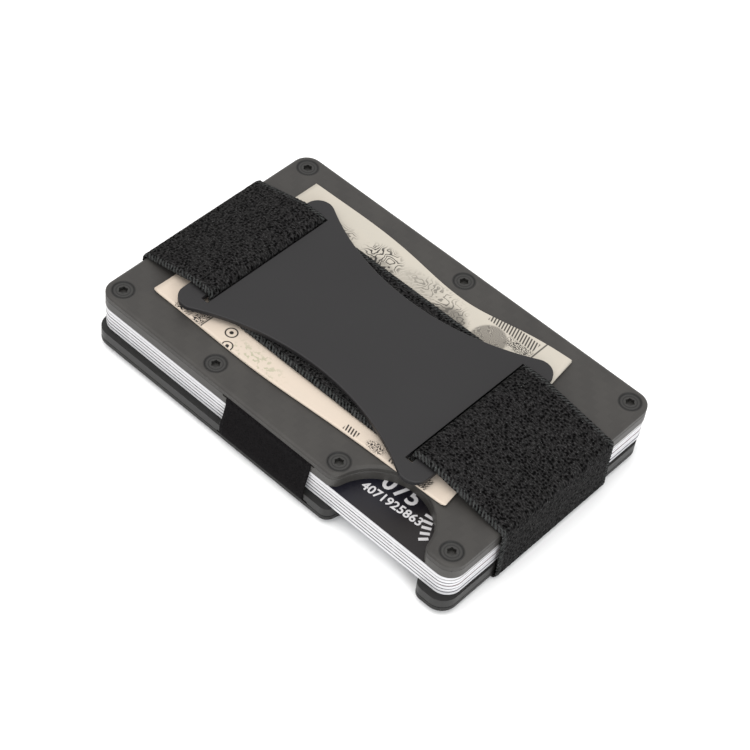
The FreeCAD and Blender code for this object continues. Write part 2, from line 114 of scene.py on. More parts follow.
class Graph:
    """A material's node tree, with short ways to add and join nodes."""

    def __init__(self, name: str) -> None:
        """Start a material with its shader.

        Args:
            name: the material's name.
        """
        self.material = bpy.data.materials.new(name)
        self.material.use_nodes = True
        self.tree = self.material.node_tree
        self.shader = self.tree.nodes["Principled BSDF"]

    def feed(self, socket: Socket, value: object) -> None:
        """Join an output to an input, or set the input's own value.

        Args:
            socket: the input.
            value: another node's output, or a plain value.
        """
        if isinstance(value, Socket):
            self.tree.links.new(value, socket)
        else:
            socket.default_value = value

    def node(self, kind: str, inputs: dict[int | str, object], output: int | str = 0,
             **settings: str) -> Socket:
        """Add a node and feed its inputs.

        Args:
            kind: the node's type name without its prefix.
            inputs: what each input takes, by its number or name.
            output: the number or name of the output to return.
            settings: the node's own options.

        Returns:
            The output.
        """
        node = self.tree.nodes.new("ShaderNode" + kind)
        for key, value in settings.items():
            setattr(node, key, value)
        for key, value in inputs.items():
            self.feed(node.inputs[key], value)
        return node.outputs[output]

    def math(self, operation: str, *terms: Term) -> Socket:
        """Do one sum on sockets or numbers."""
        return self.node("Math", dict(enumerate(terms)), operation=operation)

    def chain(self, operation: str, terms: Iterable[Term]) -> Socket:
        """Do the same sum along a row of sockets or numbers."""
        return reduce(partial(self.math, operation), terms)

    def plus(self, *terms: Term) -> Socket:
        """Add sockets or numbers together."""
        return self.chain("ADD", terms)

    def minus(self, first: Term, second: Term) -> Socket:
        """Take the second socket or number from the first."""
        return self.math("SUBTRACT", first, second)

    def times(self, *terms: Term) -> Socket:
        """Multiply sockets or numbers together."""
        return self.chain("MULTIPLY", terms)

    def over(self, first: Term, second: Term) -> Socket:
        """Divide the first socket or number by the second."""
        return self.math("DIVIDE", first, second)

    def length(self, first: Term, second: Term) -> Socket:
        """The length of a flat arrow, from its two parts."""
        return self.math("SQRT", self.plus(self.times(first, first), self.times(second, second)))

    def nearest(self, x: Term, y: Term, centres: tuple[Spot, ...]) -> Socket:
        """How far a point lies from the nearest of some centres, in millimetres."""
        gaps = [self.length(self.minus(x, u / MM), self.minus(y, v / MM)) for u, v in centres]
        return self.chain("MINIMUM", gaps)

    def mix(self, share: Term, low: Socket | Colour, high: Socket | Colour) -> Socket:
        """Blend two colours by a share."""
        return self.node("Mix", {0: share, 6: low, 7: high}, 2, data_type="RGBA")

    def mix_number(self, share: Term, low: Term, high: Term) -> Socket:
        """Blend two numbers by a share."""
        return self.node("Mix", {0: share, 2: low, 3: high}, data_type="FLOAT")

    def join(self, first: Term, second: Term) -> Socket:
        """Make a flat vector from its two parts."""
        return self.node("CombineXYZ", {0: first, 1: second})

    def split(self, vector: Socket) -> list[Socket]:
        """Take a vector apart into its three parts."""
        return list(self.node("SeparateXYZ", {0: vector}).node.outputs)

    def between(self, value: Term, low: float, high: float, to_low: float = 0.0,
                to_high: float = 1.0) -> Socket:
        """Carry a range of values smoothly on to another range.

        Args:
            value: the value to carry.
            low: where the range starts.
            high: where the range ends.
            to_low: the result at the start.
            to_high: the result at the end.

        Returns:
            The carried value's socket.
        """
        inputs = {"Value": value, "From Min": low, "From Max": high, "To Min": to_low,
                  "To Max": to_high}
        return self.node("MapRange", inputs, interpolation_type="SMOOTHSTEP")

    def in_millimetres(self, vector: Socket) -> Socket:
        """Turn a vector in metres into millimetres."""
        return self.node("Mapping", {"Vector": vector, "Scale": (1 / MM,) * 3})

    def place(self) -> Socket:
        """The point in the object's own space, in millimetres."""
        return self.in_millimetres(self.node("TexCoord", {}, "Object"))

    def surface(self) -> Socket:
        """The point along and across the cloth, in millimetres."""
        return self.in_millimetres(self.node("UVMap", {}, uv_map="UVMap"))

    def cloud(self, vector: Socket, scale: float, detail: float = 2.0,
              roughness: float = 0.5) -> Socket:
        """Soft noise from 0 to 1 over a vector."""
        inputs = {"Vector": vector, "Scale": scale, "Detail": detail, "Roughness": roughness}
        return self.node("TexNoise", inputs)

    def cells(self, vector: Socket, randomness: float) -> Socket:
        """How far a point lies from the middle of its cell, with a cell to each unit."""
        inputs = {"Vector": vector, "Scale": 1.0, "Randomness": randomness}
        return self.node("TexVoronoi", inputs, "Distance", distance="EUCLIDEAN", feature="F1")

    def bump(self, height: Term, strength: float, depth: float) -> None:
        """Give the shader a relief.

        Args:
            height: the relief, 0 to 1.
            strength: how much of it shows.
            depth: how deep 1 is, in metres.
        """
        inputs = {"Strength": strength, "Distance": depth, "Height": height}
        self.feed(self.shader.inputs["Normal"], self.node("Bump", inputs))

    def finish(self, **values: object) -> bpy.types.Material:
        """Set the shader's inputs and return the material.

        Args:
            values: inputs by name, with underscores for spaces.

        Returns:
            The finished material.
        """
        for key, value in values.items():
            self.feed(self.shader.inputs[key.replace("_", " ")], value)
        return self.material


@dataclass(frozen=True)
class LaminateFinish:
    """A satin laminate with a faint two-over-two twill and painted shade in the screw seats.

    Lengths are in millimetres, and scales are in features a millimetre.
    """

    name: str
    dark: Colour
    light: Colour
    seats: tuple[Spot, ...]
    seat_edge: Spot = (2.05, 2.4)
    painted_seat_shade: Colour = linear(8, 8, 8)
    tow: float = 1.5
    thread_scale: float = 14.0
    haze_scale: float = 0.09
    grain_scale: float = 5.0

    def material(self) -> bpy.types.Material:
        """Build the laminate.

        Returns:
            The material.
        """
        graph = Graph(self.name)
        place = graph.place()
        x, y, _ = graph.split(place)
        column = graph.math("FLOOR", graph.over(x, self.tow))
        row = graph.math("FLOOR", graph.over(y, self.tow))
        step = graph.math("FLOORED_MODULO", graph.plus(column, row), 4.0)
        on_top = graph.math("LESS_THAN", step, 2.0)
        way = graph.mix_number(on_top, x, y)
        threads = graph.math("SINE", graph.times(way, self.thread_scale))
        haze = graph.cloud(place, self.haze_scale, 3.0)
        grain = graph.cloud(place, self.grain_scale, 3.0, 0.7)
        share = graph.plus(graph.times(on_top, 0.1), graph.times(haze, 0.9),
                           graph.times(grain, 0.16), -0.1)
        colour = graph.mix(share, self.dark, self.light)
        # Painted shade: the plate darkens in the countersinks round the screws, where shade falls in
        # the gap by each head.
        seat_shadow = graph.between(graph.nearest(x, y, self.seats), *self.seat_edge, 0.75, 0.0)
        colour = graph.mix(seat_shadow, colour, self.painted_seat_shade)
        rough = graph.between(grain, 0.2, 0.8, 0.46, 0.6)
        graph.bump(graph.plus(graph.times(threads, 0.1), grain), 0.22, 0.00003)
        return graph.finish(Base_Color=colour, Roughness=rough, Specular_IOR_Level=0.3)


@dataclass(frozen=True)
class ScrewFinish:
    """Black oxide steel, with painted shade in the groove round its socket and at its rim.

    Each edge is where the shade starts and ends, in millimetres from the screw's centre.
    """

    name: str
    dark: Colour
    light: Colour
    seats: tuple[Spot, ...]
    rim: Spot = (1.6, 1.9)
    groove_inside: Spot = (1.15, 1.25)
    groove_outside: Spot = (1.35, 1.5)
    shadow: Colour = linear(6, 6, 6)
    grain_scale: float = 7.0

    def material(self) -> bpy.types.Material:
        """Build the steel.

        Returns:
            The material.
        """
        graph = Graph(self.name)
        place = graph.place()
        x, y, _ = graph.split(place)
        far = graph.nearest(x, y, self.seats)
        grain = graph.cloud(place, self.grain_scale, 3.0, 0.7)
        colour = graph.mix(grain, self.dark, self.light)
        # Painted shade: dark towards the rim, where the head meets its countersink, and in the
        # groove round the socket.
        rim = graph.between(far, *self.rim, 0.0, 0.85)
        groove = graph.times(graph.between(far, *self.groove_inside),
                             graph.between(far, *self.groove_outside, 1.0, 0.0))
        shade = graph.math("MAXIMUM", rim, graph.times(groove, 0.6))
        colour = graph.mix(shade, colour, self.shadow)
        rough = graph.between(grain, 0.2, 0.8, 0.3, 0.46)
        graph.bump(grain, 0.3, 0.00002)
        return graph.finish(Base_Color=colour, Roughness=rough, Metallic=0.35,
                            Specular_IOR_Level=0.5)


@dataclass(frozen=True)
class AnodisedFinish:
    """Fine blasted metal with a dark dyed skin."""

    name: str
    dark: Colour
    light: Colour
    roughness: float
    grain_depth: float
    gloss: float
    haze_scale: float = 0.06
    grain_scale: float = 9.0

    def material(self) -> bpy.types.Material:
        """Build the metal.

        Returns:
            The material.
        """
        graph = Graph(self.name)
        place = graph.place()
        haze = graph.cloud(place, self.haze_scale)
        grain = graph.cloud(place, self.grain_scale, 2.0, 0.7)
        share = graph.plus(graph.times(haze, 0.7), graph.times(grain, 0.3))
        colour = graph.mix(share, self.dark, self.light)
        rough = graph.between(grain, 0.2, 0.8, self.roughness - 0.05, self.roughness + 0.06)
        graph.bump(grain, 0.25, self.grain_depth)
        return graph.finish(Base_Color=colour, Roughness=rough, Specular_IOR_Level=self.gloss)


@dataclass(frozen=True)
class KnitFinish:
    """Knitted elastic: rows of small loops with fuzzy fibres, and a stitched edge, with painted
    shade in the pits and painted glints on the fibres.

    The hem and the stitches are in millimetres, and the width and relief in metres.
    """

    name: str
    weave: Weave
    width: float
    painted_pit_shade: Colour
    loop: Colour
    fuzz_and_glint: Colour
    relief: float = 0.00032
    hem: Spot = (1.1, 0.7)
    stitch: float = 0.74

    def material(self) -> bpy.types.Material:
        """Build the knit on the piece's own along-and-across map.

        Returns:
            The material.
        """
        graph = Graph(self.name)
        where = graph.surface()
        along, across, _ = graph.split(where)
        pitch = self.weave.value
        wander = graph.cloud(where, 0.7)
        shifted = graph.plus(across, graph.times(wander, 0.5))
        loops = graph.join(graph.over(along, pitch * 1.1), graph.over(shifted, pitch))
        pit = graph.between(graph.cells(loops, 0.7), 0.25, 0.56, 1.0, 0.0)
        drawn = graph.join(along, graph.times(across, 1.8))
        twist = graph.between(graph.cloud(drawn, 1.15 / pitch, 2.0, 0.7), 0.36, 0.66)
        edge = graph.math("ABSOLUTE", across)
        half = self.width / MM / 2
        hem = graph.between(edge, half - self.hem[0], half - self.hem[1])
        slant = graph.plus(along, graph.times(edge, 0.8), graph.times(wander, 0.9))
        stitch = graph.math("SINE", graph.times(slant, math.tau / self.stitch))
        sewn = graph.times(hem, graph.between(stitch, -0.4, 0.9))
        # Painted shade: the colour follows the relief, darkest in the pits and darker on the low
        # strands.
        height = graph.minus(graph.times(twist, 0.7), graph.times(pit, 0.9))
        cover = graph.times(graph.minus(1.0, pit), graph.plus(graph.times(twist, 0.85), 0.15))
        colour = graph.mix(cover, self.painted_pit_shade, self.loop)
        # Painted glints: bright specks scattered over the loops; the stitched edge below is
        # lightened with the same light colour.
        speck = graph.between(graph.cloud(where, 2.6, 4.0, 0.9), 0.62, 0.7)
        colour = graph.mix(graph.times(speck, 0.7), colour, self.fuzz_and_glint)
        colour = graph.mix(graph.times(sewn, 0.1), colour, self.fuzz_and_glint)
        graph.bump(graph.plus(height, graph.times(sewn, 0.3)), 0.8, self.relief)
        return graph.finish(Base_Color=colour, Roughness=0.85, Specular_IOR_Level=0.05)


@dataclass(frozen=True)
class CardFinish:
    """White-cored plastic with a printed face whose layer shows as a fine edge line.

    The card's top is in metres, and the line's depth below it is in millimetres.
    """

    name: str
    left: Colour
    right: Colour
    core: Colour
    top: float
    line: float
    line_depth: float = 0.17
    line_ink: Colour = linear(16, 17, 20)
    core_fleck: Colour = linear(120, 122, 126)

    def material(self) -> bpy.types.Material:
        """Build the card: print on its flat faces, core on its edges.

        Returns:
            The material.
        """
        graph = Graph(self.name)
        place = graph.place()
        x, y, z = graph.split(place)
        upright = graph.split(graph.node("TexCoord", {}, "Normal"))[2]
        face = graph.between(graph.math("ABSOLUTE", upright), 0.82, 0.9)
        drift = graph.plus(graph.over(x, 16.0), graph.over(y, -26.0), graph.cloud(place, 0.12))
        ink = graph.mix(graph.between(drift, 2.2, 3.4), self.left, self.right)
        fleck = graph.cloud(place, 2.0, 3.0)
        streak = graph.cloud(graph.plus(x, y), 0.5)
        edge = graph.mix(graph.times(fleck, 0.2), self.core, self.core_fleck)
        top = self.top / MM
        near = graph.times(graph.between(z, top - self.line_depth, top - self.line_depth * 0.6),
                           graph.between(streak, 0.2, 0.5, 0.7, 1.0))
        edge = graph.mix(graph.times(near, self.line), edge, self.line_ink)
        colour = graph.mix(face, edge, ink)
        rough = graph.between(fleck, 0.3, 0.7, 0.34, 0.46)
        graph.bump(fleck, 0.12, 0.00001)
        return graph.finish(Base_Color=colour, Roughness=rough, Specular_IOR_Level=0.35)


@dataclass(frozen=True)
class Oval:
    """A soft-edged oval area of the paper, in millimetres."""

    centre: Spot
    reach: Spot
    soft: float

    def cover(self, graph: Graph, x: Term, y: Term) -> Socket:
        """Mark out the oval.

        Args:
            graph: the node tree.
            x: the lengthways place.
            y: the crossways place.

        Returns:
            1 inside the oval, 0 outside.
        """
        across = graph.over(graph.minus(x, self.centre[0]), self.reach[0])
        along = graph.over(graph.minus(y, self.centre[1]), self.reach[1])
        return graph.between(graph.length(across, along), 1 - self.soft, 1 + self.soft, 1.0, 0.0)


@dataclass(frozen=True)
class Oblong:
    """A soft-edged oblong area of the paper between two corners, in millimetres."""

    low: Spot
    high: Spot
    soft: float = 0.12

    def cover(self, graph: Graph, x: Term, y: Term) -> Socket:
        """Mark out the oblong.

        Args:
            graph: the node tree.
            x: the lengthways place.
            y: the crossways place.

        Returns:
            1 inside the oblong, 0 outside.
        """
        sides = []
        for value, low, high in zip((x, y), self.low, self.high):
            sides.append(graph.between(value, low - self.soft, low + self.soft))
            sides.append(graph.between(value, high - self.soft, high + self.soft, 1.0, 0.0))
        return graph.times(*sides)


@dataclass(frozen=True)
class Target:
    """A ring round a dot, in millimetres.

    Each part is its share of the radius and how soft its edge is: disc, hole and dot.
    """

    centre: Spot
    radius: float
    parts: tuple[Spot, ...] = ((1.0, 0.06), (0.78, 0.07), (0.32, 0.2))

    def cover(self, graph: Graph, x: Term, y: Term) -> Socket:
        """1 on the ring and on the dot, 0 elsewhere."""
        disc, hole, dot = (Oval(self.centre, (self.radius * share,) * 2, soft).cover(graph, x, y)
                           for share, soft in self.parts)
        return graph.math("MAXIMUM", graph.minus(disc, hole), dot)


@dataclass(frozen=True)
class Mark:
    """A printed mark: its area, the line work that fills it and how dark it is."""

    area: Oval | Oblong | Target
    stroke: Stroke
    weight: float


NOTE_MARKS = (
    Mark(Oval((-22.5, 16.2), (2.4, 1.3), 0.5), Stroke.HAIR, 0.6),
    Mark(Oval((-13.2, 16.2), (4.0, 2.8), 0.35), Stroke.HAIR, 0.95),
    Mark(Oval((-12.4, 14.6), (3.6, 1.6), 0.4), Stroke.CROSS, 0.8),
    Mark(Oval((-4.6, 16.0), (5.4, 2.6), 0.5), Stroke.CROSS, 0.35),
    Mark(Oval((-1.0, 17.2), (6.0, 1.8), 0.6), Stroke.HAIR, 0.6),
    Mark(Oval((4.4, 13.8), (4.4, 3.9), 0.2), Stroke.HAIR, 0.8),
    Mark(Oval((4.8, 13.4), (3.9, 3.6), 0.25), Stroke.SOLID, 0.6),
    Mark(Oval((13.2, 15.6), (3.4, 3.7), 0.08), Stroke.SOLID, 0.42),
    Mark(Oval((13.2, 15.6), (3.4, 3.7), 0.08), Stroke.FINE, 0.7),
    Mark(Oblong((10.0, 19.4), (20.6, 21.7)), Stroke.BARS, 0.9),
    Mark(Oblong((15.4, 17.0), (21.0, 19.2), 0.3), Stroke.SCROLL, 0.95),
    Mark(Oblong((21.2, 15.0), (21.5, 24.0), 0.08), Stroke.SOLID, 0.85),
    Mark(Oblong((-30.8, -19.9), (-28.6, -17.2)), Stroke.SCROLL, 1.0),
    Mark(Oblong((-28.3, -19.9), (-26.9, -17.6)), Stroke.CROSS, 0.85),
    Mark(Oblong((-26.5, -20.1), (-24.1, -16.8)), Stroke.SCROLL, 1.0),
    Mark(Oblong((-24.0, -20.1), (-23.7, -16.8), 0.08), Stroke.SOLID, 0.9),
    Mark(Oblong((22.4, -19.4), (28.4, -15.6), 0.3), Stroke.CROSS, 0.95),
    Mark(Oblong((22.4, -19.4), (28.4, -15.6), 0.3), Stroke.SCROLL, 0.8),
    Mark(Oval((16.5, -17.4), (1.9, 1.1), 0.3), Stroke.SCROLL, 1.0),
    Mark(Oblong((9.6, -18.5), (12.6, -17.1)), Stroke.BARS, 0.95),
    Mark(Oblong((19.8, -18.0), (21.4, -16.8)), Stroke.BARS, 0.9),
    Mark(Oblong((-22.0, -11.0), (22.0, 10.5), 0.6), Stroke.CROSS, 0.35),
    Mark(Oval((0.0, 0.0), (9.5, 10.0), 0.1), Stroke.FINE, 0.55),
    Mark(Target((-18.9, -17.1), 1.25), Stroke.SOLID, 1.0),
    Mark(Target((-17.2, -19.9), 1.15), Stroke.SOLID, 1.0),
)


@dataclass(frozen=True)
class PaperFinish:
    """Soft cream paper with engraved line work of no real currency, in millimetres."""

    name: str
    paper: Colour
    shade: Colour
    ink: Colour
    tint: Colour
    marks: tuple[Mark, ...] = NOTE_MARKS
    tinted: Oval = Oval((-11.5, -18.6), (5.5, 2.2), 0.6)
    shaded: Spot = (-8.0, 8.0)
    top_leaf: float = 0.09

    def lines(self, graph: Graph, value: Term, pitch: float, thin: Term = 0.0) -> Socket:
        """Draw fine lines a pitch apart along a value, thinner as thin goes from -1 to 1."""
        wave = graph.math("SINE", graph.times(value, math.tau / pitch))
        return graph.between(graph.minus(wave, thin), -0.35, 0.35)

    def strokes(self, graph: Graph, place: Socket) -> dict[Stroke, Term]:
        """Draw each kind of line work over the whole sheet.

        Args:
            graph: the node tree.
            place: the point on the sheet.

        Returns:
            Where each kind of line holds ink.
        """
        x, y, _ = graph.split(place)
        swirl = graph.cloud(place, 0.34)
        curl = graph.cloud(place, 0.8)
        bent_x = graph.plus(x, graph.times(swirl, 5.0))
        bent_y = graph.plus(y, graph.times(swirl, 6.0))
        strand = graph.plus(graph.times(swirl, 16.0), graph.plus(x, graph.times(y, -0.7)))
        thin = graph.minus(1.0, graph.times(graph.cloud(place, 0.9), 1.4))
        return {
            Stroke.SOLID: 1.0,
            Stroke.HAIR: self.lines(graph, strand, 1.7, thin),
            Stroke.FINE: self.lines(graph, graph.plus(bent_x, bent_y), 0.42, -0.2),
            Stroke.CROSS: self.lines(graph, graph.minus(bent_x, bent_y), 0.5),
            Stroke.BARS: self.lines(graph, graph.plus(x, graph.times(y, 0.35)), 0.62),
            Stroke.SCROLL: self.lines(graph, graph.times(curl, 10.0), 1.1, 0.15),
        }

    def printed(self, graph: Graph, place: Socket) -> Socket:
        """Lay every mark on the top leaf.

        Args:
            graph: the node tree.
            place: the point on the sheet.

        Returns:
            How much ink a point holds.
        """
        x, y, z = graph.split(place)
        strokes = self.strokes(graph, place)
        drawn = [graph.times(mark.area.cover(graph, x, y), strokes[mark.stroke], mark.weight)
                 for mark in self.marks]
        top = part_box("folded_note")[1].z / MM - self.top_leaf
        return graph.times(graph.chain("MAXIMUM", drawn), graph.between(z, top, top + 0.02))

    def material(self) -> bpy.types.Material:
        """Build the paper and its print.

        Returns:
            The material.
        """
        graph = Graph(self.name)
        place = graph.place()
        x, y, _ = graph.split(place)
        wear = graph.cloud(place, 0.18, 4.0, 0.6)
        fibre = graph.cloud(place, 4.5, 3.0, 0.7)
        grey = graph.plus(graph.between(y, *self.shaded, 0.0, 0.75), graph.times(wear, 0.4))
        base = graph.mix(grey, self.paper, self.shade)
        base = graph.mix(graph.times(graph.between(fibre, 0.55, 0.8), 0.25), base, self.shade)
        stain = graph.between(graph.cloud(place, 1.3), 0.52, 0.62)
        stain = graph.times(self.tinted.cover(graph, x, y), stain, 0.45)
        base = graph.mix(stain, base, self.tint)
        colour = graph.mix(self.printed(graph, place), base, self.ink)
        graph.bump(graph.plus(fibre, wear), 0.35, 0.00004)
        return graph.finish(Base_Color=colour, Roughness=0.78, Specular_IOR_Level=0.3)


@dataclass(frozen=True)
class SpeckledFinish:
    """A plain even surface with faint specks of a second colour."""

    name: str
    colour: Colour
    speck: Colour
    scale: float
    share: float
    roughness: float
    gloss: float

    def material(self) -> bpy.types.Material:
        """Build the surface.

        Returns:
            The material.
        """
        graph = Graph(self.name)
        speck = graph.times(graph.cloud(graph.place(), self.scale), self.share)
        return graph.finish(Base_Color=graph.mix(speck, self.colour, self.speck),
                            Roughness=self.roughness, Specular_IOR_Level=self.gloss)


def dress(piece: bpy.types.Object, material: bpy.types.Material) -> None:
    """Put one material on every slot of a piece.

    Args:
        piece: the piece.
        material: its material.
    """
    if not piece.data.materials:
        piece.data.materials.append(material)
    for place in piece.material_slots:
        place.material = material


def add_piece(name: str, shape: bmesh.types.BMesh) -> bpy.types.Object:
    """Turn a finished bmesh into a piece of the scene and free it.

    Args:
        name: the piece's name.
        shape: its mesh, in place.

    Returns:
        The piece.
    """
    mesh = bpy.data.meshes.new(name)
    shape.to_mesh(mesh)
    shape.free()
    piece = bpy.data.objects.new(name, mesh)
    bpy.context.scene.collection.objects.link(piece)
    return piece


@dataclass
class Route:
    """A side profile: straight runs with rounded corners, measured along its length.

    A corner is its two coordinates and its radius.
    """

    corners: list[Triple]
    step: float = 0.00008
    straight: float = math.radians(89.9)
    shortest: float = 1e-9
    points: list[Vector] = field(init=False, default_factory=list)
    lengths: list[float] = field(init=False, default_factory=list)

    def __post_init__(self) -> None:
        """Work out the points along the profile."""
        spots = [Vector((u, v)) for u, v, _ in self.corners]
        self.points = [spots[0]]
        for index in range(1, len(spots) - 1):
            self.points += self.turn(*spots[index - 1:index + 2], self.corners[index][2])
        self.points.append(spots[-1])
        self.lengths = [0.0]
        for before, after in zip(self.points, self.points[1:]):
            self.lengths.append(self.lengths[-1] + (after - before).length)

    def turn(self, before: Vector, spot: Vector, after: Vector, radius: float) -> list[Vector]:
        """Round one corner.

        Args:
            before: the corner before it.
            spot: the corner.
            after: the corner after it.
            radius: how wide it is rounded.

        Returns:
            The arc's points, or the corner alone where the way runs straight on.
        """
        back, ahead = (before - spot).normalized(), (after - spot).normalized()
        half = back.angle(ahead) / 2
        if half > self.straight:
            return [spot]
        reach = radius / math.tan(half)
        centre = spot + (back + ahead).normalized() * (radius / math.sin(half))
        first, last = spot + back * reach - centre, spot + ahead * reach - centre
        sweep = first.angle_signed(last)
        count = max(2, round(abs(sweep) * radius / self.step))
        return [centre + Matrix.Rotation(-sweep * part / count, 2) @ first
                for part in range(count + 1)]

    @property
    def length(self) -> float:
        """The whole length."""
        return self.lengths[-1]

    def at(self, distance: float) -> tuple[Vector, Vector]:
        """Find a point of the profile.

        Args:
            distance: how far along it.

        Returns:
            The point, and the unit normal to the left of the way along.
        """
        low, high = 0, len(self.lengths) - 2
        while low < high:
            middle = (low + high + 1) // 2
            if self.lengths[middle] <= distance:
                low = middle
            else:
                high = middle - 1
        span = self.lengths[low + 1] - self.lengths[low]
        share = (distance - self.lengths[low]) / span if span > 0 else 0.0
        start, end = self.points[low], self.points[low + 1]
        way = (end - start).normalized()
        return start.lerp(end, share), Vector((-way.y, way.x))

    def nearest(self, u: float, v: float) -> float:
        """Find where the profile comes nearest to a point.

        Args:
            u: the point's place along the plane.
            v: the point's height.

        Returns:
            The distance along the profile.
        """
        target = Vector((u, v))
        best, found = math.inf, 0.0
        for index, (start, end) in enumerate(zip(self.points, self.points[1:])):
            way = end - start
            if way.length < self.shortest:
                continue
            share = clamp((target - start).dot(way) / way.length_squared)
            far = (start + way * share - target).length
            if far < best:
                best, found = far, self.lengths[index] + way.length * share
        return found


@dataclass
class StripPoint:
    """A point of a plain strip: its place, the ways out and across, and two distances.

    One distance is along the route, and the other is across from the centre line.
    """

    spot: Vector
    out: Vector
    side: Vector
    along: float
    across: float


@dataclass
class Ribbon:
    """A strip of cloth or paper laid along a stretch of a route.

    It thins to a share of its thickness at its long edges, over a reach that is itself
    given in thicknesses.
    """

    name: str
    route: Route
    plane: Plane
    start: float
    end: float
    width: float
    centre: float
    thick: float
    step_along: float
    step_across: float
    flip: bool = False
    rim_share: float = 0.45
    rim_reach: float = 0.6

    def width_at(self, distance: float) -> Spot:
        """The strip's two sides, from its centre, at a distance along it."""
        return -self.width / 2, self.width / 2

    def thickness_at(self, distance: float) -> float:
        """The share of the full thickness at a distance along the strip."""
        return 1.0

    def shape(self, point: StripPoint) -> Vector:
        """Move a point of the plain strip to where it lies."""
        return point.spot

    def point(self, along: float, across: float) -> StripPoint:
        """Find a point of the plain strip.

        Args:
            along: how far along the route it lies.
            across: how far from the centre line it lies.

        Returns:
            The point.
        """
        (u, v), (out, up) = self.route.at(along)
        place = self.centre + across
        if self.plane is Plane.ALONG_X:
            ways = Vector((u, place, v)), Vector((out, 0, up)), Vector((0, 1, 0))
        else:
            ways = Vector((place, u, v)), Vector((0, out, up)), Vector((1, 0, 0))
        return StripPoint(*ways, along, across)

    def along(self, vertex: bmesh.types.BMVert) -> float:
        """How far along the route a point of the flat strip lies."""
        return self.start + (vertex.co.x + 0.5) * (self.end - self.start)

    def flat(self) -> bmesh.types.BMesh:
        """Make the strip's faces in a unit square, with its map and its sharp cut ends.

        Returns:
            The flat strip.
        """
        columns = math.ceil((self.end - self.start) / self.step_along)
        rows = math.ceil(self.width / self.step_across)
        grid = bmesh.new()
        bmesh.ops.create_grid(grid, x_segments=columns, y_segments=rows, size=0.5)
        table = grid.loops.layers.uv.new("UVMap")
        for face in grid.faces:
            face.smooth = True
            for corner in face.loops:
                corner[table].uv = (self.along(corner.vert), corner.vert.co.y * self.width)
        for edge in grid.edges:
            edge.smooth = not all(abs(abs(end.co.x) - 0.5) < 1e-5 for end in edge.verts)
        return grid

    def build(self) -> bpy.types.Object:
        """Lay the strip along the route.

        Returns:
            The piece, with its thickness as a modifier.
        """
        grid = self.flat()
        weights = []
        for vertex in grid.verts:
            along = self.along(vertex)
            low, high = self.width_at(along)
            across = low + (vertex.co.y + 0.5) * (high - low)
            rim = min(1.0, min(across - low, high - across) / (self.thick * self.rim_reach))
            share = self.rim_share + (1 - self.rim_share) * rim
            weights.append(share * self.thickness_at(along))
            vertex.co = self.shape(self.point(along, across))
        if self.flip:
            bmesh.ops.reverse_faces(grid, faces=grid.faces)
        piece = add_piece(self.name, grid)
        group = piece.vertex_groups.new(name="thickness")
        for index, weight in enumerate(weights):
            group.add([index], weight, "REPLACE")
        wall = piece.modifiers.new("thickness", "SOLIDIFY")
        wall.thickness = self.thick
        wall.offset = 0.0
        wall.use_even_offset = False
        wall.vertex_group = group.name
        log.info("%s: %d faces", self.name, len(piece.data.polygons))
        return piece


@dataclass
class StrapRibbon(Ribbon):
    """A length of the cash strap: loops ripple its face and scallop its edges."""

    scallop: float = 0.00006
    scallop_pitch: float = 0.0009
    edge_reach: float = 0.0007
    edge_lift: float = 0.00005
    edge_drift: float = 0.00012
    drift_scale: float = 110.0
    drift_apart: float = 3.0
    ripple: float = 0.00005
    ripple_scale: float = 1300.0
    thin_from: float = 0.0405
    thin_to: float = 0.0428
    thin: float = 0.62

    def thickness_at(self, distance: float) -> float:
        """Thin the strap where it is pulled tight round the covers' ends.

        Args:
            distance: how far along the route.

        Returns:
            The share of the full thickness.
        """
        reach = abs(self.route.at(distance)[0].x)
        share = clamp((reach - self.thin_from) / (self.thin_to - self.thin_from))
        return 1.0 + (self.thin - 1.0) * share

    def shape(self, point: StripPoint) -> Vector:
        """Ripple the face and scallop the edges.

        Args:
            point: a point of the plain strip.

        Returns:
            Where it lies.
        """
        along, across = point.along, point.across
        edge = max(0.0, 1 - (self.width / 2 - abs(across)) / self.edge_reach)
        beat = math.sin(along * math.tau / self.scallop_pitch)
        rough = noise.noise(Vector((along, across, 0.0)) * self.ripple_scale)
        rim = math.copysign(self.drift_apart, across)
        wander = noise.noise(Vector((along * self.drift_scale, rim, 0.0)))
        stray = edge * (self.scallop * (beat + rough) + self.edge_drift * wander)
        return (point.spot + point.out * (self.ripple * rough + edge * self.edge_lift * beat)
                + point.side * math.copysign(stray, across))


@dataclass
class BandRibbon(Ribbon):
    """An elastic band with a wide hammer head at both ends."""

    head: Spot = (0.0, 0.0)
    head_depth: float = 0.0
    shoulder: float = 0.0003

    def width_at(self, distance: float) -> Spot:
        """Widen the band in both heads.

        Args:
            distance: how far along the route.

        Returns:
            The band's two sides, from its centre.
        """
        inset = min(distance - self.start, self.end - distance)
        share = clamp((inset - self.head_depth + self.shoulder) / self.shoulder)
        half = self.width / 2
        low, high = self.head
        return low + (-half - low) * share, high + (half - high) * share


